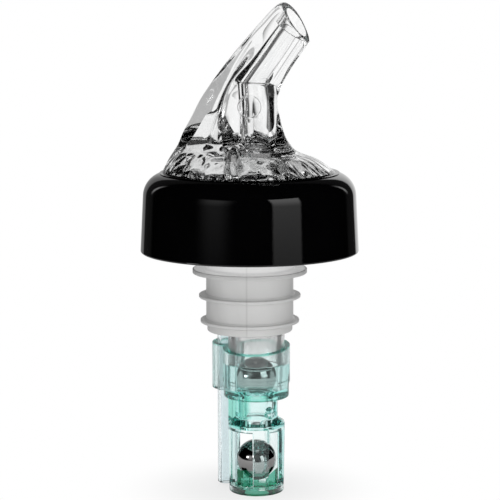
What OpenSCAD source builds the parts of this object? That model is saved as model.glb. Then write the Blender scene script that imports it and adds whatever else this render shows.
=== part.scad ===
// Measured liquor pourer: a clear spout on a black collar, a ribbed cork for the bottle neck,
// and a tail with a timing ball, a valve ball and a breather tube.
// The bottle's lip bears at z = 0, on the cork's axis. The spout leans to +X.

/* [Collar] */
// Outer radius of the collar at its lower edge
collar_r = 22.5; // [21:0.1:26]
// How far the collar hangs below the bottle's lip
collar_drop = 11.7; // [6:0.1:16]
// How far the collar rises above the bottle's lip
collar_rise = 4.6; // [4.4:0.1:6]
// How much narrower the collar is at its shoulder
collar_draft = 0.9; // [0:0.1:1.2]
// Radius of the rounded shoulder
shoulder_r = 5; // [3:0.1:6]
// Thickness of the collar's hanging wall
collar_wall = 2; // [1.2:0.1:2.6]
// Thickness of the plate across the collar
plate_t = 2.8; // [2.2:0.1:3.2]

/* [Cork] */
// Radius of the cork between its ribs
cork_r = 9; // [8.8:0.1:9.6]
// Length of the cork below the bottle's lip
cork_len = 28.2; // [27.6:0.1:31]
// Radius of the top rib
rib_1_r = 11.8; // [10.8:0.1:12.5]
// Radius of the middle rib, which grips the bottle neck
rib_2_r = 10.5; // [10.4:0.1:11.5]
// Radius of the bottom rib
rib_3_r = 10.2; // [9.8:0.1:10.4]
// Height of the bottom rib above the cork's foot
rib_rise = 2.1; // [1.6:0.1:3]
// Distance from rib to rib
rib_pitch = 5.2; // [4:0.1:5.3]
// Thickness of the top rib's edge
rib_1_edge = 0.9; // [0.6:0.1:1.4]
// Thickness of the edges of the other two ribs
rib_edge = 0.6; // [0.4:0.1:1]
// Radius of the flange that seals on the bottle's lip
flange_r = 12.3; // [11.5:0.1:13.5]
// Thickness of that flange
flange_t = 1.2; // [0.8:0.1:1.6]

/* [Tubes] */
// Distance of the barrel's axis from the cork's axis
barrel_x = 1.45; // [1.2:0.05:1.6]
// Outer radius of the barrel
barrel_r = 5.85; // [5.7:0.05:6]
// How far the barrel reaches down into the dose cap
barrel_reach = 2.7; // [1.8:0.1:3.2]
// Outer radius of the breather tube
breather_r = 1.8; // [1.5:0.05:1.9]
// Wall of the breather tube
breather_wall = 0.7; // [0.4:0.05:0.8]
// Direction of the breather tube, seen from the barrel's axis
breather_angle = 168; // [160:1:200]

/* [Balls] */
// Diameter of both steel balls
ball_d = 8.3; // [7.6:0.1:8.5]
// Room around a ball in its bore
ball_room = 0.35; // [0.25:0.05:0.45]
// Depth of the timing ball's centre at rest, below the cap's upper edge
timing_ball_drop = 5.2; // [4.9:0.1:5.7]
// Height of the valve ball's centre at rest, above the cage's foot
valve_ball_rise = 6.6; // [6.1:0.1:7.4]

/* [Dose cap] */
// Distance from the cork's foot to the cap's upper edge at its lowest place
cap_gap = 4.1; // [3.5:0.1:5]
// Slope of that edge, which rises to the back, in degrees
rim_slope = 6.4; // [0:0.1:9]
// Height of the cap's sleeve, from its foot to the lowest place of its edge
sleeve_h = 9.7; // [9.4:0.1:10.4]
// Wall of the sleeve
sleeve_wall = 1.05; // [0.7:0.05:1.3]
// Height of the narrow neck below the sleeve
neck_h = 5.5; // [4:0.1:6]
// Outer radius of the narrow neck
neck_outer_r = 4.4; // [3.8:0.1:4.6]
// Radius of the throat through the neck
throat_r = 2.5; // [2:0.1:2.8]
// Radius of the metering port in the neck
port_r = 0.8; // [0.5:0.1:1.2]
// Outer radius of the ball cage at its top
cage_r = 5.9; // [5.7:0.05:6]
// How much narrower the cage is at its foot
cage_taper = 0.25; // [0:0.05:0.3]
// Height of the ball cage
cage_h = 14.6; // [13.6:0.1:16]
// Rise of the slope from the cage's top to the neck
cage_slope = 1.1; // [0.6:0.1:1.6]
// Width of the cage's front and left legs; the right leg is wider
leg_w = 3.2; // [2.4:0.1:4.5]
// Direction of the front leg, seen from the side away from the breather tube
leg_angle = -44; // [-60:1:-20]

/* [Spout] */
// Radius of the spout's foot
spout_foot_r = 18.1; // [16.5:0.1:18.4]
// Height of the upright edge of the foot
foot_edge_h = 1.4; // [1:0.1:2]
// Rise of the shallow cone above the foot
cone_h = 4.4; // [3:0.1:6]
// Radius at the top of that cone
cone_top_r = 10.4; // [9.6:0.1:12]
// Height of the narrowest place of the spout's front
waist_z = 18.6; // [17:0.1:20]
// Distance of the waist's front from the barrel's axis
waist_r = 4.6; // [4.3:0.05:5.2]
// Half of the waist's thickness, across the lean
waist_side_r = 4.8; // [4.6:0.1:5.6]
// Height at which the way through the spout bends
bend_z = 23.1; // [22:0.1:25]
// Lean of the pouring tip from upright, in degrees
lean = 36.5; // [31:0.1:42]
// Distance from the bend to the middle of the mouth
mouth_reach = 15; // [13.5:0.1:18]
// Slope of the mouth's face from upright, in degrees
mouth_slope = 33.5; // [28:0.5:44]
// Length of the mouth's face
mouth_len = 9.5; // [9:0.1:11]
// Half of the mouth's thickness, across the lean
mouth_side_r = 3.4; // [3.2:0.05:4.4]
// How far the spout's back bows outward
back_bow = 2.85; // [1:0.05:4]
// How much more of that bow lies in the lower half, as a share
back_skew = 0.33; // [0:0.01:0.6]
// How far the back's line passes behind the mouth's upper end
tip_round = 1.1; // [0:0.1:2]
// Wall of the hollow foot
spout_wall = 2; // [1.6:0.1:2.4]
// Radius of the upright bore
rise_r = 3.2; // [2.6:0.05:3.4]
// Radius of the slanted bore
pour_r = 2.4; // [2:0.05:2.5]
// Half length of the widened mouth, in the plane of the lean
lip_r = 3.15; // [2.8:0.05:3.4]
// Half width of the widened mouth, as a share of its half length
lip_flat = 0.83; // [0.8:0.01:0.9]
// Depth of the widened mouth
lip_depth = 2.1; // [1:0.1:3]
// Radius of the air vent in the spout's cone
vent_r = 1.2; // [0.6:0.1:1.3]

/* [Hidden] */
$fn = 96;

// Slack between pieces that are pressed together, and between a ball and what stops it
fit = 0.05;
stop_gap = 0.15;
// How far a cutting shape reaches past the face that it cuts
over = 1;
// Rounding of moulded edges
edge = 0.5;

ball_r = ball_d / 2;
bore_r = ball_r + ball_room;

// The breather tube stands beside the barrel and the cage, clear of both
breather_gap = max(barrel_r, cage_r) + breather_r + 2 * fit;
breather_pos = [barrel_x + breather_gap * cos(breather_angle), breather_gap * sin(breather_angle)];
// The tail's own zero direction points away from the breather tube
tail_turn = breather_angle + 180;
// The cork is never so thin that the breather tube's hole breaks through its side
cork_body_r = max(cork_r, norm(breather_pos) + breather_r + 0.6);
leg_turns = [leg_angle, leg_angle + 106, leg_angle + 240];
leg_widths = [leg_w, 1.8 * leg_w, leg_w];
finger_turns = [leg_angle + 60, leg_angle + 180, leg_angle + 300];

// Barrel and spout foot
foot_top = plate_t + foot_edge_h;
mid_cone_r = (spout_foot_r + cone_top_r) / 2;
barrel_top = foot_top + 3.8;
barrel_flange_r = mid_cone_r - spout_wall;
barrel_flange_t = 1.4;
notch_count = 20;
notch_w = 2;
notch_depth = 2.2;
socket_r = barrel_r + fit;
boss_r = socket_r + 0.8;

// Depths along the tail, all negative
cap_top = -cork_len - cap_gap;
barrel_foot = cap_top - barrel_reach;
sleeve_foot = cap_top - sleeve_h;
cage_top = sleeve_foot - neck_h;
cage_roof = cage_top - 0.9;
cage_foot = cage_top - cage_h;
sleeve_r = barrel_r + fit + sleeve_wall;
sleeve_low_r = sleeve_r - 0.2;
sleeve_step = cap_top - 0.685 * sleeve_h;
lobe_r = breather_r + fit + sleeve_wall;
lobe_lift = 0.8;
lobe_foot = sleeve_foot + lobe_lift;
rim_high = cap_top + 2 * sleeve_r * tan(rim_slope);
retainer_h = 1.2;
retainer_r = bore_r + 0.6;
window_roof = cage_roof - 0.4;
window_floor = cage_foot + retainer_h + 0.4;
finger_w = 1.9;
timing_ball_z = cap_top - timing_ball_drop;
valve_ball_z = cage_foot + valve_ball_rise;

// A ball rests on a 45 degree slope: on that slope the radius is z plus this reach, from its centre
slope_reach = (ball_r + stop_gap) * sqrt(2);
seat_r = ball_r / sqrt(2) + 0.37;
chamber_floor = timing_ball_z + seat_r - slope_reach;
throat_top = timing_ball_z + throat_r - slope_reach;

// Spout: mouth, and the two profiles in its plane of symmetry
mouth = [barrel_x + mouth_reach * sin(lean), bend_z + mouth_reach * cos(lean)];
mouth_dir = [-sin(mouth_slope), cos(mouth_slope)];
mouth_top = mouth + mouth_dir * mouth_len / 2;
mouth_bottom = mouth - mouth_dir * mouth_len / 2;
lean_dir = [sin(lean), cos(lean)];
waist_x = barrel_x + waist_r;
flare = cone_top_r - waist_x;

// Back profile: a bowed line from the foot to just behind the top of the mouth
foot_back = [-spout_foot_r, foot_top];
back_line = mouth_top - [tip_round, 0] - foot_back;
back_out = [-back_line[1], back_line[0]] / norm(back_line);
function bow(s) = 4 * back_bow * s * (1 - s) * (1 + back_skew * (1 - 2 * s));
function back(s) = foot_back + back_line * s + back_out * bow(s);

// Stations up the spout: back point, front point, half thickness, then how far the round back
// gives way to a keel, or below zero how much blunter than the front it is, and last the share of
// the way from back to front at which the keel's flat flank ends
STATIONS = [
    [back(0), [spout_foot_r, foot_top], spout_foot_r, 0, 0.3],
    [back(0.064), [mid_cone_r, foot_top + 0.66 * cone_h], mid_cone_r, 0.1, 0.3],
    [back(0.103), [cone_top_r, foot_top + cone_h], cone_top_r + 0.4, 0.3, 0.3],
    [back(0.145), [waist_x + 0.66 * flare, foot_top + 1.35 * cone_h], waist_side_r + 0.65 * flare, 0.75, 0.3],
    [back(0.21), [waist_x + 0.3 * flare, foot_top + 1.95 * cone_h], waist_side_r + 0.35 * flare, 1, 0.29],
    [back(0.38), [waist_x, waist_z], waist_side_r, 1, 0.28],
    [back(0.49), [waist_x + 0.75, bend_z - 1], waist_side_r - 0.2, 1, 0.26],
    [back(0.7), mouth_bottom - 0.43 * mouth_reach * lean_dir, mouth_side_r + 0.5, 0.5, 0.17],
    [back(0.96), mouth_bottom - 0.06 * mouth_reach * lean_dir, mouth_side_r + 0.1, -0.1, 0.1],
    [mouth_top, mouth_bottom, mouth_side_r, -0.25, 0.1],
];
LAST = len(STATIONS) - 1;

// Each station as one list: back x and z, front x and z, half thickness, keel, end of the flank
SPINE = [for (s = STATIONS) [s[0][0], s[0][1], s[1][0], s[1][1], s[2], s[3], s[4]]];

// A smooth line through the stations, at place t from 0 to LAST
function knot(list, i) = list[max(0, min(len(list) - 1, i))];
function blend(a, b, c, d, u) =
    b + u * (c - a + u * (2 * a - 5 * b + 4 * c - d + u * (3 * (b - c) + d - a))) / 2;
function along(list, t) =
    let (i = min(len(list) - 2, floor(t)))
    blend(knot(list, i - 1), knot(list, i), knot(list, i + 1), knot(list, i + 2), t - i);

// A keel's half width, as a share of the half thickness, at share m of the way from back to front:
// a flat flank up to a corner, then a hollow curve to the full half thickness
keel_slope = 1.9;
function swell(u) = u * u * (3 - 2 * u);
function flank(m, corner) =
    m < corner
        ? keel_slope * m
        : keel_slope * corner + (1 - keel_slope * corner) * swell((m - corner) / (0.5 - corner));

// One ring of points across the plane of symmetry: round in front, round, blunt or a keel at the back
ring_sides = 44;
function ring(k) = [
    for (j = [0 : ring_sides - 1])
        let (
            a = 360 * j / ring_sides,
            m = (1 + cos(a)) / 2,
            round_half = abs(sin(a)) * (1 + min(0, k[5]) * cos(a)),
            half = m < 0.5 ? round_half + max(0, k[5]) * (flank(m, k[6]) - round_half) : round_half
        )
        [k[0] + (k[2] - k[0]) * m, k[4] * half * sign(sin(a)), k[1] + (k[3] - k[1]) * m]
];

// A closed skin over a stack of rings
module skin(rings) {
    n = len(rings[0]);
    top = (len(rings) - 1) * n;
    sides = [
        for (i = [0 : len(rings) - 2], j = [0 : n - 1])
            let (a = i * n + j, b = i * n + (j + 1) % n)
            each [[a, a + n, b], [b, a + n, b + n]]
    ];
    foot_face = [for (j = [0 : n - 1]) j];
    top_face = [for (j = [n - 1 : -1 : 0]) top + j];
    polyhedron([for (r = rings) each r], concat([foot_face], sides, [top_face]), convexity = 6);
}

// The spout's outside: an upright edge, then the smooth skin through the stations
function lowered(k, z) = [k[0], z, k[2], z, k[4], k[5], k[6]];
ring_step = 0.34;
OUTER_RINGS = concat(
    [ring(lowered(SPINE[0], plate_t))],
    [for (t = [0 : ring_step : LAST - ring_step / 2]) ring(along(SPINE, t))],
    [ring(SPINE[LAST])]
);

// The hollow of the foot: the lower stations, drawn in by the wall, with a domed top that rises
// toward the boss
top_tilt = 4;
HOLLOW = [
    for (i = [0 : 5])
        let (
            k = SPINE[i],
            inset = spout_wall * (1 + 0.06 * i),
            tilt = top_tilt * max(0, i - 3) / 2
        )
        [k[0] + inset, k[1] - 0.9 * inset, k[2] - inset, k[3] - 0.9 * inset + tilt, k[4] - inset, k[5], k[6]]
];
hollow_end = 4.7;
hollow_steps = 10;
dome_rise = 1.2;
function domed(k, a) =
    let (
        x = (k[0] + k[2]) / 2,
        z = (k[1] + k[3]) / 2,
        lift = z + dome_rise * sin(a)
    )
    [x + (k[0] - x) * cos(a), lift + (k[1] - z) * cos(a), x + (k[2] - x) * cos(a),
     lift + (k[3] - z) * cos(a), k[4] * cos(a), k[5], k[6]];
HOLLOW_RINGS = concat(
    [ring(lowered(HOLLOW[0], plate_t - over))],
    [for (i = [0 : hollow_steps]) ring(along(HOLLOW, hollow_end * i / hollow_steps))],
    [for (a = [28, 56, 83]) ring(domed(along(HOLLOW, hollow_end), a))]
);

// The vent opens upward beside the boss, into the hollow of the foot
vent_pos = [0.3, -boss_r - vent_r - 0.5];

// On the pouring axis: from the bend upward, tilted by the lean
module on_pour_axis() {
    translate([barrel_x, 0, bend_z])
        rotate([0, lean, 0])
            children();
}

// Along the tail: at the barrel's axis, turned so that +X points away from the breather tube
module tail() {
    translate([barrel_x, 0, 0])
        rotate([0, 0, tail_turn])
            children();
}

// A tube or a rod between two heights
module rod(r, from, to) {
    translate([0, 0, from])
        cylinder(r = r, h = to - from);
}

module spout() {
    color([0.93, 0.95, 0.96, 0.45])
        difference() {
            skin(OUTER_RINGS);
            difference() {
                skin(HOLLOW_RINGS);
                translate([barrel_x, 0, 0])
                    rod(boss_r, plate_t + barrel_flange_t + fit, bend_z);
            }
            translate([barrel_x, 0, 0]) {
                rod(socket_r, 0, barrel_top);
                rod(rise_r, barrel_top - over, bend_z);
            }
            on_pour_axis() {
                rod(pour_r, -pour_r * tan(lean), mouth_reach);
                scale([1, lip_flat, 1])
                    rod(lip_r, mouth_reach - lip_depth, mouth_reach + mouth_len);
            }
            translate([vent_pos[0], vent_pos[1], 0])
                rod(vent_r, foot_top, waist_z);
        }
}

module collar() {
    shoulder_x = collar_r - collar_draft - shoulder_r;
    shoulder_z = collar_rise - shoulder_r;
    inner_r = collar_r - collar_draft - collar_wall;
    recess_r = spout_foot_r + fit;
    seat_r = flange_r + fit;
    hole_r = norm(breather_pos) + breather_r + 0.3;
    arc_end = shoulder_x < recess_r ? acos((recess_r - shoulder_x) / shoulder_r) : 90;
    arc_steps = 12;
    color([0.05, 0.05, 0.06])
        rotate_extrude()
            polygon(concat(
                [[hole_r, flange_t], [seat_r, flange_t], [seat_r, 0], [inner_r, 0]],
                [[inner_r, -collar_drop], [collar_r - edge, -collar_drop]],
                [[collar_r, edge - collar_drop]],
                [for (i = [0 : arc_steps])
                    let (a = arc_end * i / arc_steps)
                    [shoulder_x + shoulder_r * cos(a), shoulder_z + shoulder_r * sin(a)]],
                [[recess_r, shoulder_z + shoulder_r * sin(arc_end)]],
                [[recess_r, plate_t], [hole_r, plate_t]]
            ));
}

// One rib of the cork: a flat disc with a thickened root
module rib(r, z, width) {
    disc = width / 2;
    root = disc + 0.35;
    root_r = cork_body_r + 0.35;
    rotate_extrude()
        polygon([
            [cork_body_r - over, z - root], [cork_body_r, z - root], [root_r, z - disc], [r, z - disc],
            [r, z + disc], [root_r, z + disc], [cork_body_r, z + root], [cork_body_r - over, z + root]
        ]);
}

module cork() {
    rib_radii = [rib_3_r, rib_2_r, rib_1_r];
    rib_edges = [rib_edge, rib_edge, rib_1_edge];
    slot_w = 1.6;
    cork_chamfer = 0.25;
    // Below the bottom rib the cork is a little thinner
    foot_r = cork_body_r - 0.2;
    color([0.93, 0.93, 0.9])
        difference() {
            union() {
                rod(flange_r, 0, flange_t);
                rod(cork_body_r, rib_rise - cork_len, over / 2);
                rod(foot_r, cork_chamfer - cork_len, rib_rise - cork_len + over / 2);
                translate([0, 0, -cork_len])
                    cylinder(r1 = foot_r - cork_chamfer, r2 = foot_r, h = cork_chamfer);
                for (i = [0 : len(rib_radii) - 1])
                    rib(rib_radii[i], rib_rise - cork_len + i * rib_pitch, rib_edges[i]);
            }
            tail() {
                rod(barrel_r + fit, -cork_len - over, flange_t + over);
                translate([-breather_gap, 0, 0])
                    rod(breather_r + fit, -cork_len - over, flange_t + over);
                translate([-breather_gap, -slot_w / 2, -cork_len - over])
                    cube([breather_gap, slot_w, cork_len + flange_t + 2 * over]);
            }
        }
}

module barrel() {
    color([0.95, 0.96, 0.97, 0.45])
        difference() {
            union() {
                translate([barrel_x, 0, 0])
                    rod(barrel_r, barrel_foot, barrel_top);
                rod(barrel_flange_r, plate_t, plate_t + barrel_flange_t);
            }
            translate([barrel_x, 0, 0])
                rod(bore_r, barrel_foot - over, barrel_top + over);
            translate([breather_pos[0], breather_pos[1], 0])
                rod(breather_r + fit, plate_t - over, plate_t + barrel_flange_t + over);
            for (i = [0 : notch_count - 1])
                rotate([0, 0, 360 * i / notch_count])
                    translate([barrel_flange_r - notch_depth, -notch_w / 2, plate_t - over])
                        cube([notch_depth + over, notch_w, barrel_flange_t + 2 * over]);
        }
}

module breather_tube() {
    top = plate_t + barrel_flange_t;
    foot = cage_foot + 0.5;
    color([0.95, 0.96, 0.97, 0.45])
        translate([breather_pos[0], breather_pos[1], 0])
            difference() {
                rod(breather_r, foot, top);
                rod(breather_r - breather_wall, foot - over, top + over);
            }
}

module dose_cap() {
    cage_low_r = cage_r - cage_taper;
    column_w = 3.4;
    color([0.55, 0.85, 0.72, 0.6])
        tail()
            difference() {
                union() {
                    rod(sleeve_low_r, sleeve_foot, sleeve_step);
                    rod(sleeve_r, sleeve_step, rim_high);
                    translate([-breather_gap, 0, 0])
                        rod(lobe_r, lobe_foot, rim_high);
                    translate([-breather_gap, -lobe_r, lobe_foot])
                        cube([breather_gap, 2 * lobe_r, rim_high - lobe_foot]);
                    rod(neck_outer_r, cage_top - over / 2, sleeve_foot + over / 2);
                    translate([0, 0, cage_foot])
                        cylinder(r1 = cage_low_r, r2 = cage_r, h = cage_top - cage_foot);
                    translate([0, 0, cage_top])
                        cylinder(r1 = cage_r, r2 = neck_outer_r - fit, h = cage_slope);
                    intersection() {
                        rod(cage_r - fit, cage_top - over / 2, sleeve_foot + over / 2);
                        rotate([0, 0, leg_turns[2]])
                            translate([throat_r + fit, -column_w / 2, cage_top - over])
                                cube([cage_r, column_w, neck_h + 2 * over]);
                    }
                }
                // Sloping edge: what lies above it, over the lobe too
                rotate([0, 0, -tail_turn])
                    translate([0, -sleeve_r, cap_top])
                        rotate([rim_slope, 0, 0])
                            translate([-2 * breather_gap, -over, 0])
                                cube([4 * breather_gap, 4 * sleeve_r, 4 * sleeve_r]);
                // Socket for the barrel, ball chamber, seat and throat
                rod(barrel_r + fit, barrel_foot, rim_high + over);
                rotate_extrude()
                    polygon([
                        [0, cage_roof - over], [throat_r, cage_roof - over], [throat_r, throat_top],
                        [seat_r, chamber_floor], [bore_r, chamber_floor],
                        [bore_r, barrel_foot + over], [0, barrel_foot + over]
                    ]);
                // Breather hole
                translate([-breather_gap, 0, 0])
                    rod(breather_r + fit, lobe_foot - over, rim_high + over);
                // Metering port
                translate([0, 0, (sleeve_foot + cage_top) / 2])
                    rotate([0, 90, 0])
                        cylinder(r = port_r, h = neck_outer_r + over);
                // Ball cage: chamber, socket of the retainer, windows
                rod(bore_r, cage_foot - over, cage_roof);
                rod(retainer_r + fit, cage_foot - over, cage_foot + retainer_h);
                difference() {
                    rod(cage_r + over, window_floor, window_roof);
                    for (i = [0 : len(leg_turns) - 1])
                        rotate([0, 0, leg_turns[i]])
                            translate([0, -leg_widths[i] / 2, window_floor - over])
                                cube([cage_r + 2 * over, leg_widths[i], cage_h]);
                }
            }
}

module ball_retainer() {
    ring_top = cage_foot + retainer_h;
    finger_r = bore_r - 2 * fit;
    inner_r = throat_r - edge;
    color([0.45, 0.78, 0.64, 0.7])
        tail()
            difference() {
                union() {
                    rod(retainer_r, cage_foot, ring_top);
                    for (a = finger_turns)
                        rotate([90, 0, a])
                            translate([0, 0, -finger_w / 2])
                                linear_extrude(finger_w)
                                    polygon([
                                        [inner_r, ring_top - over / 2], [finger_r, ring_top - over / 2],
                                        [finger_r, finger_r - slope_reach + valve_ball_z],
                                        [inner_r, inner_r - slope_reach + valve_ball_z]
                                    ]);
                }
                rod(throat_r, cage_foot - over, cage_foot + retainer_h + ball_d);
            }
}

module timing_ball() {
    color([0.8, 0.81, 0.83])
        translate([barrel_x, 0, timing_ball_z])
            sphere(r = ball_r);
}

module valve_ball() {
    color([0.8, 0.81, 0.83])
        translate([barrel_x, 0, valve_ball_z])
            sphere(r = ball_r);
}

spout();
collar();
cork();
barrel();
breather_tube();
dose_cap();
ball_retainer();
timing_ball();
valve_ball();
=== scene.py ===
# %% [markdown]
# # A measured pourer for a liquor bottle
# The pourer is a stack of moulded plastic pieces with two steel balls inside.
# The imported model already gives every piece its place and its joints.
# This lesson models six of the mouldings again with round edges and fine steps, in the same
# frame, and then gives every piece a finish that is made of shader nodes alone.

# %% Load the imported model
import math

import bmesh
import bpy
from mathutils import Matrix, Vector
from mathutils.noise import noise as noise_at


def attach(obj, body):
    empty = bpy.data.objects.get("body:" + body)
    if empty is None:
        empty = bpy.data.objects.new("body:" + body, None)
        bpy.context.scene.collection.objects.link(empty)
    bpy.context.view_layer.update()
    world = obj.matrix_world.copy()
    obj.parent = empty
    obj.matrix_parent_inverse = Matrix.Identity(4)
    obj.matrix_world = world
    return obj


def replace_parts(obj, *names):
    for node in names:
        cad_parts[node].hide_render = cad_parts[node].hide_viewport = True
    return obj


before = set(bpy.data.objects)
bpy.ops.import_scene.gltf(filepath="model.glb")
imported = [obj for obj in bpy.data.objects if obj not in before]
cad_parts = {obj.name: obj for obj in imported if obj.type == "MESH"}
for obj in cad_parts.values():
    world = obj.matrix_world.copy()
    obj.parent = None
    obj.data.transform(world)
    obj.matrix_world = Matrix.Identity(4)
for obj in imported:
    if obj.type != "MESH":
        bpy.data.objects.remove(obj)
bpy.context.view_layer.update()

print("nodes:", sorted(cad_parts))

# %% [markdown]
# ## From a list of points to a piece
# Sizes of the object are in millimetres, because a moulder's drawing is, and Blender gets metres.
# A piece could start from a ready cylinder, but then each rounding would be a later repair.
# Here the points and faces are listed first and become one mesh, so the shape is exact at once.

# %% Points and faces become a piece
MM = 0.001
SAME_POINT = 1e-8


def piece_from(name, points, faces):
    mesh = bpy.data.meshes.new(name)
    mesh.from_pydata([Vector(point) * MM for point in points], [], faces)
    shape = bmesh.new()
    shape.from_mesh(mesh)
    bmesh.ops.remove_doubles(shape, verts=shape.verts, dist=SAME_POINT)
    bmesh.ops.recalc_face_normals(shape, faces=shape.faces)
    shape.to_mesh(mesh)
    shape.free()
    piece = bpy.data.objects.new(name, mesh)
    bpy.context.scene.collection.objects.link(piece)
    return piece


# %% [markdown]
# ## Turned shapes
# Most of the pourer is round, so most of it is an outline that is turned about an axis.
# Moulded plastic has no knife edges. Each corner of an outline therefore brings its own
# radius, and the corner is swapped for a short arc before the outline is turned.

# %% Rounded outlines
NEARLY_STRAIGHT = 1.55


def rounded(corners, steps=5):
    outline = []
    for i, (x, z, radius) in enumerate(corners):
        here = Vector((x, z))
        to_last = (Vector(corners[i - 1][:2]) - here).normalized()
        to_next = (Vector(corners[(i + 1) % len(corners)][:2]) - here).normalized()
        half = to_last.angle(to_next) / 2
        if radius == 0 or half > NEARLY_STRAIGHT:
            outline.append(here)
            continue
        centre = here + (to_last + to_next).normalized() * radius / math.sin(half)
        start = here + to_last * radius / math.tan(half) - centre
        stop = here + to_next * radius / math.tan(half) - centre
        first = math.atan2(start.y, start.x)
        sweep = (math.atan2(stop.y, stop.x) - first + math.pi) % (2 * math.pi) - math.pi
        for k in range(steps + 1):
            angle = first + sweep * k / steps
            outline.append(centre + radius * Vector((math.cos(angle), math.sin(angle))))
    return outline


# %% Turning an outline
def turned(name, outline, axis=(0, 0), sides=144):
    points = []
    for j in range(sides):
        angle = 2 * math.pi * j / sides
        points += [(axis[0] + r * math.cos(angle), axis[1] + r * math.sin(angle), z) for r, z in outline]
    count = len(outline)
    faces = []
    for j in range(sides):
        here, there = j * count, (j + 1) % sides * count
        for i in range(count):
            after = (i + 1) % count
            faces.append((here + i, there + i, there + after, here + after))
    return piece_from(name, points, faces)


def rod(name, r, low, high, axis=(0, 0), sides=144):
    return turned(name, [(0, low), (r, low), (r, high), (0, high)], axis, sides)


# %% [markdown]
# ## Adding and cutting
# A mould is made by cutting steel, and Blender's Boolean modifier works in the same spirit.
# It is applied at once and the tool is thrown away, so that the piece stays one plain mesh.
# A tool reaches a little past the face it cuts, because two faces in one plane confuse the solver.
# Afterwards faces that meet at a small angle are shaded as one surface, and others keep an edge.

# %% Cutting one shape with another
PAST = 1


def worked(piece, tool, operation="DIFFERENCE"):
    step = piece.modifiers.new("step", "BOOLEAN")
    step.object = tool
    step.operation = operation
    step.solver = "EXACT"
    view = bpy.context.evaluated_depsgraph_get()
    mesh = bpy.data.meshes.new_from_object(piece.evaluated_get(view))
    piece.modifiers.clear()
    old, piece.data = piece.data, mesh
    bpy.data.meshes.remove(old)
    bpy.data.meshes.remove(tool.data)
    return piece


def smoothed(piece, degrees=32):
    piece.data.shade_smooth()
    piece.data.set_sharp_from_angle(angle=math.radians(degrees))
    return piece


# %% Moving a shape before it is used
def placed(piece, move):
    piece.data.transform(move)
    return piece


def shift(x, y, z):
    return Matrix.Translation((x * MM, y * MM, z * MM))


def spin(angle, axis="Z"):
    return Matrix.Rotation(angle, 4, axis)


# %% [markdown]
# ## The spout's outside
# The spout is one thick clear moulding. Its foot is round, its waist is an oval, and its tip
# leans forward and ends in a slanted mouth. A row of ovals along the plane of symmetry, each
# with a point on the back, one on the front and half its width, describes that with few numbers.
# The fourth entry of a station turns the oval's back into a keel, or below zero makes it blunter,
# and the last one says where the keel's flat flank ends.
# A smooth curve through the stations then gives as many ovals in between as are wanted.

# %% Sizes of the spout
barrel_x = 1.45
barrel_axis = (barrel_x, 0)
plate_t, foot_edge_h = 2.8, 1.4
foot_top = plate_t + foot_edge_h
foot_r, mid_cone_r, cone_top_r, cone_h = 18.1, 14.25, 10.4, 4.4
waist_x, waist_z = barrel_x + 4.6, 18.6
flare = cone_top_r - waist_x
waist_side, mouth_side = 4.8, 3.4
bend_z, lean = 23.1, math.radians(36.5)
lean_dir = Vector((math.sin(lean), math.cos(lean)))
mouth_reach, mouth_len, mouth_slope = 15.0, 9.5, math.radians(33.5)
mouth_dir = Vector((-math.sin(mouth_slope), math.cos(mouth_slope)))
mouth = Vector((barrel_x, bend_z)) + lean_dir * mouth_reach
mouth_top = mouth + mouth_dir * (mouth_len / 2)
mouth_foot = mouth - mouth_dir * (mouth_len / 2)
print("middle of the mouth:", [round(c, 2) for c in mouth])

# %% The bowed back
back_bow, back_skew, tip_round = 2.85, 0.33, 1.1
foot_back = Vector((-foot_r, foot_top))
back_line = mouth_top - Vector((tip_round, 0)) - foot_back
back_out = Vector((-back_line.y, back_line.x)).normalized()


def back(share):
    bow = 4 * back_bow * share * (1 - share) * (1 + back_skew * (1 - 2 * share))
    return foot_back + back_line * share + back_out * bow


# %% Stations up the spout
stations = [(*rear, *front, *others) for rear, front, *others in (
    (back(0), (foot_r, foot_top), foot_r, 0.0, 0.3),
    (back(0.064), (mid_cone_r, foot_top + 0.66 * cone_h), mid_cone_r, 0.1, 0.3),
    (back(0.103), (cone_top_r, foot_top + cone_h), cone_top_r + 0.4, 0.3, 0.3),
    (back(0.145), (waist_x + 0.66 * flare, foot_top + 1.35 * cone_h), waist_side + 0.65 * flare, 0.75, 0.3),
    (back(0.21), (waist_x + 0.3 * flare, foot_top + 1.95 * cone_h), waist_side + 0.35 * flare, 1.0, 0.29),
    (back(0.38), (waist_x, waist_z), waist_side, 1.0, 0.28),
    (back(0.49), (waist_x + 0.75, bend_z - 1), waist_side - 0.2, 1.0, 0.26),
    (back(0.7), mouth_foot - lean_dir * 0.43 * mouth_reach, mouth_side + 0.5, 0.5, 0.17),
    (back(0.96), mouth_foot - lean_dir * 0.06 * mouth_reach, mouth_side + 0.1, -0.1, 0.1),
    (mouth_top, mouth_foot, mouth_side, -0.25, 0.1),
)]
print("stations:", len(stations))


# %% A smooth curve through rows of numbers
def along(rows, t):
    i = min(len(rows) - 2, int(t))
    u = t - i
    a, b, c, d = (rows[max(0, min(len(rows) - 1, i + k))] for k in (-1, 0, 1, 2))
    return [
        q + u * (r - p + u * (2 * p - 5 * q + 4 * r - s + u * (3 * (q - r) + s - p))) / 2
        for p, q, r, s in zip(a, b, c, d)
    ]


# %% The oval of one station
KEEL_SLOPE = 1.9


def flank(share, corner):
    if share < corner:
        return KEEL_SLOPE * share
    u = (share - corner) / (0.5 - corner)
    return KEEL_SLOPE * corner + (1 - KEEL_SLOPE * corner) * u * u * (3 - 2 * u)


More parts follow.
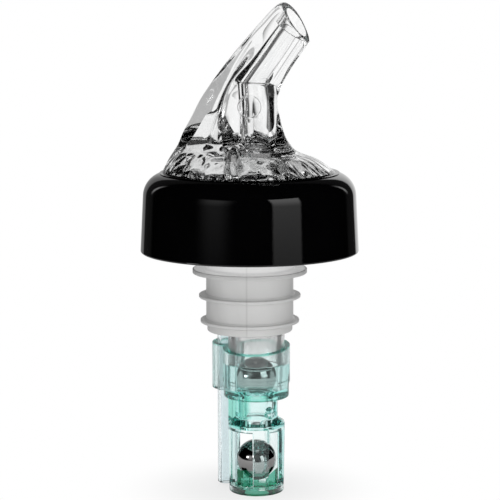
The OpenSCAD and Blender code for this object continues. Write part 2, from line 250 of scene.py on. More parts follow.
def oval(row, sides):
    rear_x, rear_z, front_x, front_z, half_width, keel, corner = row
    ring = []
    for j in range(sides):
        angle = 2 * math.pi * j / sides
        share = (1 + math.cos(angle)) / 2
        width = abs(math.sin(angle)) * (1 + min(0.0, keel) * math.cos(angle))
        if share < 0.5:
            width += max(0.0, keel) * (flank(share, corner) - width)
        ring.append(Vector((rear_x + (front_x - rear_x) * share,
                            half_width * math.copysign(width, math.sin(angle)),
                            rear_z + (front_z - rear_z) * share)))
    return ring


def level_row(row, z):
    return [row[0], z, row[2], z, row[4], 0, 0.3]


# %% A skin over the ovals
def skin(name, rings):
    count = len(rings[0])
    faces = [tuple(range(count)), tuple((len(rings) - 1) * count + j for j in range(count))]
    for i in range(len(rings) - 1):
        for j in range(count):
            k = (j + 1) % count
            faces.append((i * count + j, (i + 1) * count + j, (i + 1) * count + k, i * count + k))
    return piece_from(name, [point for ring in rings for point in ring], faces)


sides, per_station, rim_steps = 176, 9, 5
rim_round = 0.2
seat_gap = 0.03
seat_z = plate_t + seat_gap
spans = len(stations) - 1
rings = [oval(level_row(stations[0], seat_z), sides)]
rings += [oval(along(stations, k / per_station), sides) for k in range(spans * per_station)]
under_rim = rings[-1]
rim = oval(stations[-1], sides)
middle = sum(rim, Vector()) / sides
for k in range(rim_steps + 1):
    u = k / rim_steps
    ring = []
    for outer, below in zip(rim, under_rim):
        start = outer + (below - outer).normalized() * rim_round
        stop = outer + (middle - outer).normalized() * rim_round
        ring.append(start * (1 - u) ** 2 + outer * 2 * u * (1 - u) + stop * u ** 2)
    rings.append(ring)
spout = skin("spout_moulding", rings)
print("spout skin:", len(spout.data.polygons), "faces")

# %% [markdown]
# ## The ways through the spout
# Inside runs an upright bore, which bends into a slanted one and ends in a widened mouth.
# The foot is hollow, so that the wall is about as thick everywhere and cools evenly.
# In a clear piece the inside matters as much as the outside: most lines that are seen in the
# spout are walls of its bores, looked at through the curved skin. So all of it is really cut.
# The hollow has the spout's own ovals, moved inward, and a low dome on top. Flutes and soft
# ripples in its lower wall break up the light that comes through the cone.

# %% Ovals of the hollow foot
spout_wall, wall_growth, roof_share, front_lift = 2, 0.06, 0.9, 2
hollow_stations, lifted_after = 6, 3
hollow_top, hollow_steps = 4.7, 32
dome_h, dome_steps, dome_end = 1.2, 6, 6.5

hollow_rows = []
for i, row in enumerate(stations[:hollow_stations]):
    inset = spout_wall * (1 + wall_growth * i)
    tilt = front_lift * max(0, i - lifted_after)
    hollow_rows.append((row[0] + inset, row[1] - roof_share * inset, row[2] - inset,
                        row[3] - roof_share * inset + tilt, row[4] - inset, *row[5:]))
hollow_rings = [oval(level_row(hollow_rows[0], plate_t - PAST), sides)]
for k in range(hollow_steps + 1):
    hollow_rings.append(oval(along(hollow_rows, hollow_top * k / hollow_steps), sides))
rear_x, rear_z, front_x, front_z, half_width, *keel = along(hollow_rows, hollow_top)
mid_x, mid_z = (rear_x + front_x) / 2, (rear_z + front_z) / 2
for k in range(1, dome_steps + 1):
    angle = k / dome_end * math.pi / 2
    dome, lift = math.cos(angle), dome_h * math.sin(angle)
    hollow_rings.append(oval([
        mid_x + (rear_x - mid_x) * dome, mid_z + (rear_z - mid_z) * dome + lift,
        mid_x + (front_x - mid_x) * dome, mid_z + (front_z - mid_z) * dome + lift,
        half_width * dome, *keel], sides))
print("ovals of the hollow:", len(hollow_rings))

# %% Flutes and ripples in the hollow's wall
flutes, flute_depth, flute_crispness, ripple_depth = 20, 0.25, 3, 0.5
last_rippled, fading_rings = 16, 4
for k, ring in enumerate(hollow_rings):
    strength = max(0.0, min(1.0, (last_rippled - k) / fading_rings))
    centre = sum(ring, Vector()) / sides
    for j, point in enumerate(ring):
        wave = 0.5 + 0.5 * math.tanh(flute_crispness * math.cos(flutes * 2 * math.pi * j / sides))
        ripple = 0.5 + noise_at(point * 0.25) + 0.5 * noise_at(point * 0.5)
        out = point - centre
        out.z = 0
        ring[j] = point - out.normalized() * strength * (flute_depth * wave + ripple_depth * ripple)
hollow = skin("hollow", hollow_rings)
print("hollow:", len(hollow.data.polygons), "faces")

# %% Cut the hollow and the bores
socket_r, boss_r, barrel_top, boss_gap = 5.9, 6.7, 8.0, 0.05
rise_r, pour_r, lip_r, lip_flat, lip_depth = 3.2, 2.4, 3.15, 0.83, 2.1
vent_r, vent_place = 1.2, (0.3, -boss_r - 1.7)

worked(hollow, rod("boss", boss_r, foot_top + boss_gap, bend_z, barrel_axis))
worked(spout, hollow)
worked(spout, turned("upright", rounded([
    (0, 0, 0), (socket_r, 0, 0), (socket_r, barrel_top, 0.2), (rise_r, barrel_top, 0.2),
    (rise_r, bend_z, 0.4), (0, bend_z, 0),
]), barrel_axis))
to_pour_axis = shift(barrel_x, 0, bend_z) @ spin(lean, "Y")
worked(spout, placed(rod("slant", pour_r, -pour_r * math.tan(lean), mouth_reach), to_pour_axis))
lip_low, lip_high = mouth_reach - lip_depth, mouth_reach + mouth_len
lip = turned("lip", rounded([
    (0, lip_low, 0), (lip_r, lip_low, 0.2), (lip_r, lip_high, 0), (0, lip_high, 0),
]))
worked(spout, placed(lip, to_pour_axis @ Matrix.Diagonal((1, lip_flat, 1, 1))))
worked(spout, rod("vent", vent_r, foot_top, waist_z, vent_place, sides=48))
smoothed(spout)
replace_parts(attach(spout, "pourer"), "spout")
print("spout:", len(spout.data.polygons), "faces")

# %% [markdown]
# ## The collar
# The black collar is a cap with a rounded shoulder. It hides the bottle's lip.
# One outline with the wall, the plate and the seat for the spout is turned about the axis.
# The shoulder's arc has many steps, because a glossy black surface shows every flat.

# %% Turn the collar
centre_hole_r, cork_seat_r, spout_seat_r = 8.49, 12.35, 18.15
cork_flange_t, collar_drop, collar_rise = 1.2, 11.7, 4.6
skirt_r, collar_r, shoulder_r, shoulder_round = 19.6, 22.45, 21.6, 4.8
collar = turned("collar_moulding", rounded([
    (centre_hole_r, cork_flange_t, 0.15), (cork_seat_r, cork_flange_t, 0.1), (cork_seat_r, 0, 0.1),
    (skirt_r, 0, 0.6), (skirt_r, -collar_drop, 0.35), (collar_r, -collar_drop, 0.35),
    (shoulder_r, collar_rise, shoulder_round), (spout_seat_r, collar_rise, 0.25),
    (spout_seat_r, plate_t, 0.1), (centre_hole_r, plate_t, 0.1),
], steps=14), sides=192)
smoothed(collar)
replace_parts(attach(collar, "pourer"), "collar")
print("collar:", len(collar.data.polygons), "faces")

# %% [markdown]
# ## The cork
# The soft cork has three ribs that grip a bottle's neck, the top one widest.
# Its outline is turned, and then the holes for the barrel and for the breather tube are cut.
# The slot between the two holes lets the moulder's core pin come out in one piece.

# %% Turn the cork
cork_r, cork_len, cork_flange_r = 9.0, 28.2, 12.3
ribs = ((11.8, 0.45), (10.5, 0.3), (10.2, 0.3))
rib_drop, rib_pitch, rib_root, foot_step = 15.7, 5.2, 0.35, 0.2
corners = [(0, cork_flange_t, 0), (cork_flange_r, cork_flange_t, 0.25)]
corners += [(cork_flange_r, 0, 0.1), (cork_r, 0, 0.4)]
for i, (r, half) in enumerate(ribs):
    z = -rib_drop - rib_pitch * i
    corners += [(cork_r, z + half + rib_root, 0.2), (cork_r + rib_root, z + half, 0.15), (r, z + half, 0.15)]
    corners += [(r, z - half, 0.15), (cork_r + rib_root, z - half, 0.15), (cork_r, z - half - rib_root, 0.2)]
last_root = z - half - rib_root
corners += [(cork_r - foot_step, last_root, 0.1), (cork_r - foot_step, -cork_len, 0.3), (0, -cork_len, 0)]
cork = turned("cork_ribbed", rounded(corners))
print("cork without holes:", len(cork.data.polygons), "faces")


# %% Cut the cork's holes
def block(name, low, high):
    points = [(x, y, z) for x in (low[0], high[0]) for y in (low[1], high[1]) for z in (low[2], high[2])]
    faces = [(0, 1, 3, 2), (4, 6, 7, 5), (0, 4, 5, 1), (2, 3, 7, 6), (0, 2, 6, 4), (1, 5, 7, 3)]
    return piece_from(name, points, faces)


barrel_r, breather_r, breather_gap, fit = 5.85, 1.8, 7.8, 0.05
breather_turn = math.radians(168)
breather = (barrel_x + breather_gap * math.cos(breather_turn), breather_gap * math.sin(breather_turn))
tail_turn = breather_turn + math.pi
to_tail = shift(barrel_x, 0, 0) @ spin(tail_turn)
hole_low, hole_high, slot_half = -cork_len - PAST, cork_flange_t + PAST, 0.8

worked(cork, rod("barrel_hole", barrel_r + fit, hole_low, hole_high, barrel_axis))
worked(cork, rod("breather_hole", breather_r + fit, hole_low, hole_high, breather, sides=64))
slot = block("slot", (-breather_gap, -slot_half, hole_low), (0, slot_half, hole_high))
worked(cork, placed(slot, to_tail))
smoothed(cork)
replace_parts(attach(cork, "pourer"), "cork")
print("cork:", len(cork.data.polygons), "faces")

# %% [markdown]
# ## The barrel and the breather tube
# The clear barrel carries the timing ball. Its flange sits in the spout's foot and has notches
# all round for the glue, which is what sparkles there. The thin breather tube stands beside it.
# The flange is an outline of teeth that is pulled up into a plate and joined to the turned tube.

# %% The flange's outline of teeth
flange_low, flange_high, flange_r = seat_z, foot_top, 12.25
tooth_count, tooth_steps, notch, notch_half = 20, 6, 2.2, 1
wide = math.asin(notch_half / flange_r)
deep = math.asin(notch_half / (flange_r - notch))
crest = 2 * math.pi / tooth_count - 2 * wide
teeth = []
for i in range(tooth_count):
    turn = 2 * math.pi * i / tooth_count
    teeth += [(flange_r - notch, turn - deep), (flange_r - notch, turn + deep)]
    teeth += [(flange_r, turn + wide + crest * k / tooth_steps) for k in range(tooth_steps + 1)]
teeth = [(r * math.cos(angle), r * math.sin(angle)) for r, angle in teeth]
print("points round the flange:", len(teeth))

# %% Barrel with its flange
bore_r, barrel_drop = 4.5, 35.0
barrel = turned("barrel_hazy", rounded([
    (0, -barrel_drop, 0), (barrel_r, -barrel_drop, 0.3), (barrel_r, barrel_top, 0.2), (0, barrel_top, 0),
]), barrel_axis)
count = len(teeth)
plate_points = [(x, y, z) for z in (flange_low, flange_high) for x, y in teeth]
plate_faces = [tuple(range(count)), tuple(range(count, 2 * count))]
plate_faces += [(j, (j + 1) % count, count + (j + 1) % count, count + j) for j in range(count)]
worked(barrel, piece_from("flange", plate_points, plate_faces), "UNION")
worked(barrel, rod("bore", bore_r, -barrel_drop - PAST, barrel_top + PAST, barrel_axis))
worked(barrel, rod("breather_hole", breather_r + fit, flange_low - PAST, flange_high + PAST,
                   breather, sides=64))
smoothed(barrel)
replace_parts(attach(barrel, "pourer"), "barrel")
print("barrel:", len(barrel.data.polygons), "faces")

# %% Breather tube
cage_foot = -62.1
breather_foot, breather_bore = cage_foot + 0.5, 1.1
breather_tube = smoothed(turned("breather_clear", rounded([
    (breather_bore, breather_foot, 0.15), (breather_r, breather_foot, 0.3),
    (breather_r, flange_high, 0.15), (breather_bore, flange_high, 0.15),
]), breather, sides=72))
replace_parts(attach(breather_tube, "pourer"), "breather_tube")
print("breather tube:", len(breather_tube.data.polygons), "faces")

# %% [markdown]
# ## The dose cap
# The green cap closes the barrel's foot. A sleeve with a sloping edge grips the barrel, a lobe
# beside it holds the breather tube, a narrow neck has the metering port, and the cage with its
# three legs holds the valve ball. The outside is joined from turned shapes first, with a flat web
# between lobe and sleeve and a column beside the neck. Then the inside is cut with turned tools
# on one axis, so that the seat of the ball and the throat stay exactly in line.

# %% Join the cap's outside
cap_top, rim_slope, sleeve_foot, cage_top = -32.3, math.radians(6.4), -42.0, -47.5
sleeve_r, neck_r, cage_r, cage_low_r, throat_r = 6.95, 4.4, 5.9, 5.65, 2.5
step_z, step_in, cage_slope, lobe_r = -38.94, 0.2, 1.1, 2.9
rim_high = cap_top + 2 * sleeve_r * math.tan(rim_slope)
lobe_foot, lobe_axis = sleeve_foot + 0.8, (-breather_gap, 0)
cap = turned("cap_tinted", rounded([
    (0, rim_high, 0), (sleeve_r, rim_high, 0), (sleeve_r, step_z, 0.1), (sleeve_r - step_in, step_z, 0.1),
    (sleeve_r - step_in, sleeve_foot, 0.35), (neck_r, sleeve_foot, 0.3), (neck_r, cage_top + cage_slope, 0.4),
    (cage_r, cage_top, 0.4), (cage_low_r, cage_foot, 0.3), (0, cage_foot, 0),
]))
lobe = turned("lobe", rounded([
    (0, lobe_foot, 0), (lobe_r, lobe_foot, 0.3), (lobe_r, rim_high, 0), (0, rim_high, 0),
]), lobe_axis, sides=72)
worked(cap, lobe, "UNION")
worked(cap, block("web", (-breather_gap, -lobe_r, lobe_foot), (0, lobe_r, rim_high)), "UNION")
print("cap with its lobe:", len(cap.data.polygons), "faces")

# %% Slope the cap's edge and add the column
far = 20
above_rim = placed(block("above_rim", (-far, -PAST, 0), (far, far, far)), spin(rim_slope, "X"))
placed(above_rim, shift(0, -sleeve_r, cap_top))
worked(cap, placed(above_rim, spin(-tail_turn)))
legs = [(math.radians(-44), 1.6), (math.radians(62), 2.88), (math.radians(196), 1.6)]
column_half, column_sink = 1.7, 0.6
column = block("column", (throat_r + 0.3, -column_half, cage_top - column_sink),
               (cage_low_r - 0.05, column_half, sleeve_foot + column_sink))
worked(cap, placed(column, spin(legs[2][0])), "UNION")
print("cap, outside:", len(cap.data.polygons), "faces")

# %% Cut the cap's inside
cage_roof, above_cap = cage_top - 0.9, cap_top + 5
ball_z, seat_drop, seat_r = -37.5, 4.3 * math.sqrt(2), 3.3
floor_z = ball_z + seat_r - seat_drop
retainer_r, retainer_top = 5.15, cage_foot + 1.2
worked(cap, turned("inside", [
    (0, cage_roof - PAST), (throat_r, cage_roof - PAST), (throat_r, ball_z + throat_r - seat_drop),
    (seat_r, floor_z), (bore_r, floor_z), (bore_r, -barrel_drop), (barrel_r + fit, -barrel_drop),
    (barrel_r + fit, above_cap), (0, above_cap),
]))
worked(cap, rod("breather_hole", breather_r + fit, sleeve_foot - PAST, above_cap, lobe_axis, sides=72))
worked(cap, turned("cage", [
    (0, cage_foot - PAST), (retainer_r, cage_foot - PAST), (retainer_r, retainer_top), (bore_r, retainer_top),
    (bore_r, cage_roof), (0, cage_roof),
]))
print("cap, hollow:", len(cap.data.polygons), "faces")

# %% Cut the cap's port and windows
port_r, foot_ring_h, roof_edge = 0.8, 1.6, 0.4
port = placed(rod("port", port_r, 0, neck_r + PAST, sides=40), spin(math.pi / 2, "Y"))
worked(cap, placed(port, shift(0, 0, (sleeve_foot + cage_top) / 2)))
windows = rod("windows", cage_r + PAST, cage_foot + foot_ring_h, cage_roof - roof_edge)
for turn, half in legs:
    leg = block("leg", (0, -half, cage_foot + PAST), (cage_r + 2 * PAST, half, cage_roof + PAST))
    worked(windows, placed(leg, spin(turn)))
worked(cap, windows)
smoothed(placed(cap, to_tail))
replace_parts(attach(cap, "pourer"), "dose_cap")
print("cap:", len(cap.data.polygons), "faces")

# %% [markdown]
# ## Shader maths as plain expressions
# A finish is a small graph of nodes. Drawn by hand it soon becomes a tangle, so a thin class
# wraps one output of a node: adding or multiplying two of them adds a Math node. Every other
# node comes from one method, which takes its type, its settings and what goes into its sockets.

# %% The wire class
class Wire:
    def __init__(self, tree, socket):
        self.tree = tree
        self.socket = socket

    @classmethod
    def node(cls, tree, kind, settings=None, sockets=None, out=0):
        made = tree.nodes.new(kind)
        for name, value in (settings or {}).items():
            setattr(made, name, value)
        for key, value in (sockets or {}).items():
            if isinstance(value, cls):
                tree.links.new(value.socket, made.inputs[key])
            else:
                made.inputs[key].default_value = value
        return cls(tree, made.outputs[out])

    def maths(self, operation, *values):
        return self.node(self.tree, "ShaderNodeMath", {"operation": operation}, dict(enumerate(values)))

    def __add__(self, other):
        return self.maths("ADD", self, other)

    def __radd__(self, other):
        return self.maths("ADD", other, self)

    def __sub__(self, other):
        return self.maths("SUBTRACT", self, other)

    def __rsub__(self, other):
        return self.maths("SUBTRACT", other, self)

    def __mul__(self, other):
        return self.maths("MULTIPLY", self, other)

    def __rmul__(self, other):
        return self.maths("MULTIPLY", other, self)

    def __abs__(self):
        return self.maths("ABSOLUTE", self)


# %% Places and masks
def millimetres(place):
    parts = [Wire.node(place.tree, "ShaderNodeSeparateXYZ", {}, {0: place}, axis) for axis in "XYZ"]
    return [part * (1 / MM) for part in parts]


def length(a, b):
    squares = a * a + b * b
    return squares.maths("SQRT", squares)


def highest(*levels):
    top = levels[0]
    for level in levels[1:]:
        top = top.maths("MAXIMUM", top, level)
    return top


def band(value, start, stop, low=0.0, high=1.0):
    return Wire.node(value.tree, "ShaderNodeMapRange", {"interpolation_type": "SMOOTHSTEP"}, {
        0: value, 1: start, 2: stop, 3: low, 4: high})


def fade(value, start, stop, high=1.0):
    return band(value, start, stop, high, 0.0)


# %% Textures, colours and shaders
def noise(place, scale, detail):
    return Wire.node(place.tree, "ShaderNodeTexNoise", {}, {
        "Vector": place, "Scale": scale, "Detail": detail})


def between(share, first, second):
    ends = [(*colour, 1) if isinstance(colour, tuple) else colour for colour in (first, second)]
    return Wire.node(share.tree, "ShaderNodeMix", {"data_type": "RGBA"}, {
        0: share, 6: ends[0], 7: ends[1]}, 2)


def bumped(height, distance):
    return Wire.node(height.tree, "ShaderNodeBump", {}, {"Distance": distance * MM, "Height": height})


def principled(tree, sockets):
    return Wire.node(tree, "ShaderNodeBsdfPrincipled", {}, sockets)


def mixed(share, first, second):
    return Wire.node(share.tree, "ShaderNodeMixShader", {}, {0: share, 1: first, 2: second})


# %% Start and end of a finish
def new_finish(name):
    material = bpy.data.materials.new(name)
    material.use_nodes = True
    tree = material.node_tree
    tree.nodes.clear()
    return material, tree, Wire.node(tree, "ShaderNodeTexCoord", out="Object")


def output(surface, volume=None, kind="ShaderNodeOutputMaterial"):
    tree = surface.tree
    out = tree.nodes.new(kind)
    tree.links.new(surface.socket, out.inputs["Surface"])
    if volume:
        tree.links.new(volume.socket, out.inputs["Volume"])


print("wire class ready")

# %% [markdown]
# ## Headings round the object
# Some marks lie on one side of a piece. A heading says which: an angle round the upright axis,
# 0 towards -Y and 90 towards +X. The side with the marks, here called the front, is at 24 degrees.

# %% Headings
FRONT = 24


def heading(degrees):
    return Vector((math.sin(math.radians(degrees)), -math.cos(math.radians(degrees)), 0))


def towards(degrees, x, y):
    way = heading(degrees)
    return way.x * x + way.y * y


print("front:", [round(c, 3) for c in heading(FRONT)])

# %% [markdown]
# ## Clear plastic
# The spout and the breather tube are a clear, slightly cool styrene plastic.
# Full transmission with the plastic's index of refraction gives the look, and the faint waves
# that every moulding has come from a very shallow bump, so that edges are not ruler straight.
# The same bump carries the round mark that an ejector pin left on the near side.
# Below the collar the tube is bluer and a thin film is mixed in.

# %% Clear plastic
def clear_plastic():
    mark_z, mark_r = 18.2, 2.2
    material, tree, place = new_finish("clear_plastic")
    x, y, z = millimetres(place)
    waves = noise(place, 160, 2.0)
    specks = noise(place, 900, 3.0)
    from_mark = abs(length(towards(FRONT + 90, x, y), z - mark_z) - mark_r)
    mark = fade(from_mark, 0.05, 0.22) * fade(y, -2.2, -1.8)
    below = band(z, 0.0, -4.0)
    body = between(waves, (0.97, 0.975, 0.98), (0.99, 0.99, 0.985))
    surface = principled(tree, {
        "Base Color": between(below, body, (0.905, 0.98, 0.995)), "Roughness": 0.004 + 0.02 * specks,
        "IOR": 1.52, "Transmission Weight": 1.0,
        "Normal": bumped((waves + 1.5 * mark) * (1 - below), 0.03)})
    film = principled(tree, {
        "Base Color": between(waves, (0.78, 0.92, 0.95), (0.84, 0.96, 0.98)), "Roughness": 0.4})
    output(mixed(0.07 * below, surface, film))
    return material


clear = clear_plastic()
for piece in (spout, breather_tube):
    piece.data.materials.append(clear)
print("clear plastic on", spout.name, breather_tube.name)

# %% [markdown]
# ## Hazy plastic
# The barrel is a soft natural plastic. Below the cork it has gone hazy, and inside the spout's
# foot and the cap it is still clear. Two shaders are mixed by height for that: a clear one, and
# a little of a milky one that scatters the light inside the wall.

# %% Hazy plastic
def hazy_plastic():
    material, tree, place = new_finish("hazy_plastic")
    z = millimetres(place)[2]
    cloud = noise(place, 220, 3.0)
    grain = noise(place, 1200, 3.0)
    clear = principled(tree, {
        "Base Color": between(cloud, (0.96, 0.96, 0.96), (0.985, 0.985, 0.985)),
        "Roughness": 0.006 + 0.015 * grain, "IOR": 1.5, "Transmission Weight": 1.0})
    milky = principled(tree, {
        "Base Color": between(cloud, (0.88, 0.86, 0.86), (0.96, 0.94, 0.94)),
        "Roughness": 0.25 + 0.15 * grain, "IOR": 1.5,
        "Subsurface Weight": 0.6, "Subsurface Radius": (4 * MM, 4 * MM, 4 * MM), "Subsurface Scale": 1.0,
        "Normal": bumped(grain, 0.01)})
    haze = band(z, 2.0, -4.0) * band(z, cap_top - 1.2, cap_top + 0.8, 0.0, 0.2)
    output(mixed(haze, clear, milky))
    return material


barrel.data.materials.append(hazy_plastic())
print("hazy plastic on", barrel.name)

# %% [markdown]
# ## Tinted plastic
# The cap is a pale green see-through plastic that is dark only where much of it lies in the
# line of sight, as along its rims. So the green comes from absorption inside the solid, and the
# surface stays nearly clear, apart from painted shade: a darker green in the colour of its rims,
# of the feet of the sleeve and the cage, and of one side of the neck stands for that dark look.
# A dull film is mixed in at the cap's two sides as painted shade that darkens them, thinner on the cage.
# The ball retainer is the same plastic in a much deeper green.

# %% Tinted plastic
def tinted_plastic(name, tint, density):
    cap_middle = 1.3
    material, tree, place = new_finish(name)
    x, y, z = millimetres(place)
    waves = noise(place, 200, 2.0)
    specks = noise(place, 900, 3.0)
    across = towards(FRONT + 90, x, y)
    tilt = math.tan(rim_slope)
    from_rim = abs(z - tilt * y - (cap_top + sleeve_r * tilt))
    neck = band(z, cage_top - 1, cage_top) * fade(z, sleeve_foot, sleeve_foot + 0.5)
    # Painted shade: a darker green on the sleeve's rim, the feet of the sleeve and the cage, and one side of
    # the neck.
    painted_edge_shade = highest(
        fade(from_rim, 0.1, 0.4),
        fade(abs(z - sleeve_foot), 0.2, 0.7, 0.9),
        fade(abs(z - cage_foot), 0.2, 0.7, 0.5),
        0.8 * neck * fade(across, -1.2, -0.2))
    body = between(waves, (0.985, 0.995, 0.992), (0.99, 0.995, 0.995))
    clear = principled(tree, {
        "Base Color": between(painted_edge_shade, body, (0.25, 0.72, 0.60)),
        "Roughness": 0.01 + 0.03 * specks, "IOR": 1.5, "Transmission Weight": 1.0,
        "Normal": bumped(waves, 0.03)})
    film = principled(tree, {
        "Base Color": between(specks, (0.38, 0.50, 0.50), (0.48, 0.62, 0.62)), "Roughness": 0.4})
    # Painted shade: a dull grey film darkens the cap's two sides, less from the sleeve's foot down.
    painted_side_shade = band(abs(across - cap_middle), 3.6, 4.8, 0.004, 0.11)
    share = painted_side_shade * band(z, sleeve_foot - 0.5, sleeve_foot + 0.5, 0.4, 1.0)
    depth = Wire.node(tree, "ShaderNodeVolumeAbsorption", {}, {"Color": (*tint, 1), "Density": density})
    output(mixed(share, clear, film), depth)
    return material


cap.data.materials.append(tinted_plastic("green_plastic", (0.0, 0.83, 0.78), 72.0))
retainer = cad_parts["ball_retainer"]
retainer.material_slots[0].material = tinted_plastic("deep_green_plastic", (0.0, 0.65, 0.5), 900.0)
print("tinted plastic on", cap.name, retainer.name)

# %% [markdown]
# ## Black gloss, milky cork and steel
# The collar is black and glossy, with hardly visible swirls from the moulding.
# The cork is a soft milky plastic: light goes in a little before it comes out again, which is
# what subsurface scattering does. A thin seam runs up its front where the mould's halves meet.
# Light that has wandered inside it also brightens the part in the collar's shade, and a faint glow
# stands for that, because so many scattering steps would take too long to follow.
# The balls are polished steel with a breath of fine scratches.

# %% Black gloss
def black_gloss():
    material, tree, place = new_finish("black_plastic")
    swirl = noise(place, 120, 4.0)
    specks = noise(place, 1500, 2.0)
    output(principled(tree, {
        "Base Color": between(swirl, (0.0004, 0.0004, 0.0005), (0.0012, 0.0012, 0.0014)),
        "Roughness": 0.015 + 0.02 * swirl, "IOR": 1.5, "Normal": bumped(specks, 0.004)}))
    return material


collar.data.materials.append(black_gloss())
print("black gloss on", collar.name)


# %% Milky cork
def milky_cork():
    seam_place, top_rib_r = -0.65, ribs[0][0]
    material, tree, place = new_finish("cork_plastic")
    x, y, z = millimetres(place)
    cloud = noise(place, 140, 3.0)
    grain = noise(place, 1400, 3.0)
    seam = fade(abs(towards(FRONT + 90, x, y) - seam_place), 0.08, 0.25)
    front = band(towards(FRONT, x, y), 2.0, 4.0)
    glow = band(z, -rib_drop - 0.7, -rib_drop + 0.3) * fade(length(x, y), top_rib_r - 0.5, top_rib_r - 0.1)
    body = between(cloud, (0.60, 0.60, 0.595), (0.69, 0.69, 0.685))
    output(principled(tree, {
        "Base Color": between(0.25 * seam * front, body, (0.34, 0.34, 0.335)),
        "Roughness": 0.36 + 0.12 * grain, "IOR": 1.5, "Subsurface Weight": 0.15,
        "Subsurface Radius": (1.5 * MM, 1.5 * MM, 1.5 * MM), "Subsurface Scale": 1.0,
        "Emission Color": between(glow, (0.0, 0.0, 0.0), (0.29, 0.29, 0.29)), "Emission Strength": 1.0,
        "Normal": bumped(grain, 0.02)}))
    return material


cork.data.materials.append(milky_cork())
print("milky plastic on", cork.name)


# %% Polished steel
def polished_steel():
    material, tree, place = new_finish("ball_steel")
    cloud = noise(place, 300, 3.0)
    scratch = noise(place, 4000, 2.0)
    output(principled(tree, {
        "Base Color": between(cloud, (0.40, 0.392, 0.388), (0.50, 0.49, 0.485)), "Metallic": 1.0,
        "Roughness": 0.05 + 0.06 * cloud, "Normal": bumped(scratch, 0.002)}))
    return material


steel = polished_steel()
for name in ("timing_ball", "valve_ball"):
    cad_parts[name].material_slots[0].material = steel
print("finishes:", len(bpy.data.materials))

# %% [markdown]
# ## The camera
# The object is seen from a little above, through a long lens, so that upright lines stay upright.

# %% Camera
eye_distance, eye_height, aim_height = 388 * MM, 45.5 * MM, -11.53 * MM
sensor_width, focal_pixels, image_pixels = 36, 1905, 500
sideways, roll = 0.0006, math.radians(-0.13)
eye = heading(FRONT) * eye_distance + Vector((0, 0, eye_height))
aim = Vector((0, 0, aim_height))
lens = bpy.data.cameras.new("camera")
lens.sensor_width = sensor_width
lens.lens = sensor_width * focal_pixels / image_pixels
lens.shift_x = sideways
camera = bpy.data.objects.new("camera", lens)
bpy.context.scene.collection.objects.link(camera)
look = (aim - eye).to_track_quat("-Z", "Y").to_matrix().to_4x4()
camera.matrix_world = Matrix.Translation(eye) @ look @ spin(roll)
bpy.context.scene.camera = camera
print("camera at", [round(c, 4) for c in eye])

# %% [markdown]
# ## The studio
# Clear plastic on white is drawn by its dark lines, and those come from what stands beside the
# set. So light that went through a clear piece sees a white backdrop, two white panels far to the
# sides and darkness between, with one grey card on the floor. Light that was mirrored sees a
# backdrop of its own, with thin bright strips beside it. Both see two tall windows of light to
# the left and right of the camera. The camera itself sees white wherever there is nothing.
# Boxes of light stand around the set, and their sizes are in metres.

# %% Floor
def pale_floor():
    material, tree, place = new_finish("pale_floor")
    x, y = millimetres(place)[:2]
    shaded = fade(length(x, y), 6, 30, 0.25)
    direct, through = [Wire.node(tree, "ShaderNodeLightPath", out="Is %s Ray" % name)
                       for name in ("Camera", "Transmission")]
    right, behind = towards(FRONT + 90, x, y), towards(FRONT + 180, x, y)
    card = band(right, 50, 70) * band(behind, 85, 95) * fade(behind, 140, 155)
    plain = Wire.node(tree, "ShaderNodeBsdfDiffuse", {}, {"Color": (0.85, 0.85, 0.85, 1)})
    white = Wire.node(tree, "ShaderNodeEmission", {}, {
        "Color": between(through * card, (1.0, 1.0, 1.0), (0.53, 0.53, 0.53)), "Strength": 1.0})
    output(mixed(highest(direct, through) * (1 - shaded), plain, white))
    return material


floor_r, floor_t, floor_gap = 260, 1, 0.02
floor = rod("floor", floor_r, cage_foot - floor_gap - floor_t, cage_foot - floor_gap, sides=96)
floor.data.materials.append(pale_floor())
print("floor at", cage_foot, "mm")


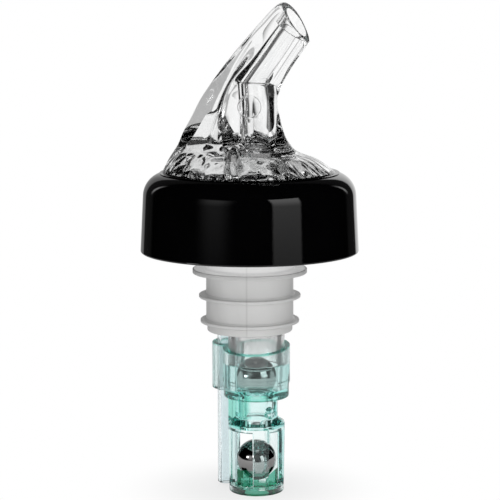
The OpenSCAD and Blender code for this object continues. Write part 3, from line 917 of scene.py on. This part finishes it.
# %% Surroundings
def studio():
    world = bpy.data.worlds.new("studio")
    world.use_nodes = True
    tree = world.node_tree
    tree.nodes.clear()
    way = Wire.node(tree, "ShaderNodeTexCoord", out="Generated")
    height = Wire.node(tree, "ShaderNodeSeparateXYZ", {}, {0: way}, "Z")
    camera_ray, diffuse_ray, through = [Wire.node(tree, "ShaderNodeLightPath", out="Is %s Ray" % name)
                                        for name in ("Camera", "Diffuse", "Transmission")]
    mirrored = 1 - through

    def facing(degrees):
        return Wire.node(tree, "ShaderNodeVectorMath", {"operation": "DOT_PRODUCT"},
                         {0: way, 1: heading(degrees)}, "Value")

    def cone(degrees, edge, core, low, high):
        outer, inner = math.cos(math.radians(edge)), math.cos(math.radians(core))
        return band(facing(degrees), outer, inner, low, high)

    def strip(degrees, half, soft):
        beside = abs(facing(degrees + 90))
        return fade(beside, half - soft, half + soft) * band(facing(degrees), 0.0, 0.1)

    back = FRONT + 180
    strip_light = band(height, 0.05, 0.3, 0.0, 1.2) * fade(height, 0.35, 0.6)
    right_window = band(height, -0.2, 0.5, 0.33, 2.0) * fade(height, 0.5, 0.54)
    left_window = band(height, -0.2, 0.4, 0.05, 0.5) * fade(height, 0.4, 0.5)
    level = highest(
        camera_ray,
        diffuse_ray * 0.45,
        through * cone(back, 38, 22, 0.004, 1.0),
        through * cone(FRONT - 90, 22, 10, 0.0, 1.0),
        through * cone(FRONT + 90, 22, 10, 0.0, 0.8),
        mirrored * cone(back, 33, 29, 0.0, 1.0) * band(facing(FRONT + 90), -0.3, 0.3, 0.35, 1.1),
        mirrored * cone(back, 57, 50, 0.0, 0.03),
        mirrored * strip(back + 47, 0.035, 0.02) * strip_light,
        mirrored * strip(back - 47, 0.035, 0.02) * strip_light,
        strip(FRONT + 40, 0.27, 0.03) * right_window,
        strip(FRONT - 38, 0.22, 0.18) * left_window,
    )
    sky = Wire.node(tree, "ShaderNodeBackground", {}, {"Color": level, "Strength": 1.0})
    output(sky, kind="ShaderNodeOutputWorld")
    return world


bpy.context.scene.world = studio()
print("surroundings:", bpy.context.scene.world.name)


# %% Soft boxes
def soft_box(name, degrees, rise, distance, width, height, radiance):
    light = bpy.data.lights.new(name, "AREA")
    light.shape = "RECTANGLE"
    light.size = width
    light.size_y = height
    light.energy = radiance * math.pi * width * height
    box = bpy.data.objects.new(name, light)
    bpy.context.scene.collection.objects.link(box)
    climb = math.radians(rise)
    place = heading(degrees) * distance * math.cos(climb) + Vector((0, 0, distance * math.sin(climb)))
    box.location = place
    box.rotation_euler = (-place).to_track_quat("-Z", "Y").to_euler()
    box.visible_camera = False
    box.visible_glossy = False
    print(name, "at", [round(c, 2) for c in place])
    return box


soft_box("right_box", degrees=70, rise=4, distance=0.6, width=0.30, height=0.12, radiance=1.0)
soft_box("left_box", degrees=-30, rise=3, distance=0.6, width=0.30, height=0.10, radiance=1.2)
soft_box("top_box", degrees=10, rise=75, distance=0.7, width=0.5, height=0.5, radiance=0.8)
low_box = soft_box("low_box", degrees=FRONT, rise=-4, distance=0.20, width=0.16, height=0.04, radiance=6.2)
low_box.visible_transmission = False

# %% [markdown]
# ## A sparkle on the balls
# Polished balls need one small bright thing to mirror. This box stands close to the tail and is
# seen in reflections and through clear pieces only, so that it lights no matt surface.

# %% Sparkle box
sparkle = soft_box("sparkle_box", degrees=-30, rise=-19, distance=0.09,
                   width=0.02, height=0.016, radiance=6.0)
sparkle.visible_glossy = True
sparkle.visible_diffuse = False

# %% [markdown]
# ## Settings
# Light has to pass many clear walls here, so it may bend more often than Blender's default.

# %% Settings
scene = bpy.context.scene
scene.view_settings.view_transform = "Standard"
scene.cycles.max_bounces = 32
scene.cycles.transmission_bounces = 32
scene.cycles.glossy_bounces = 12
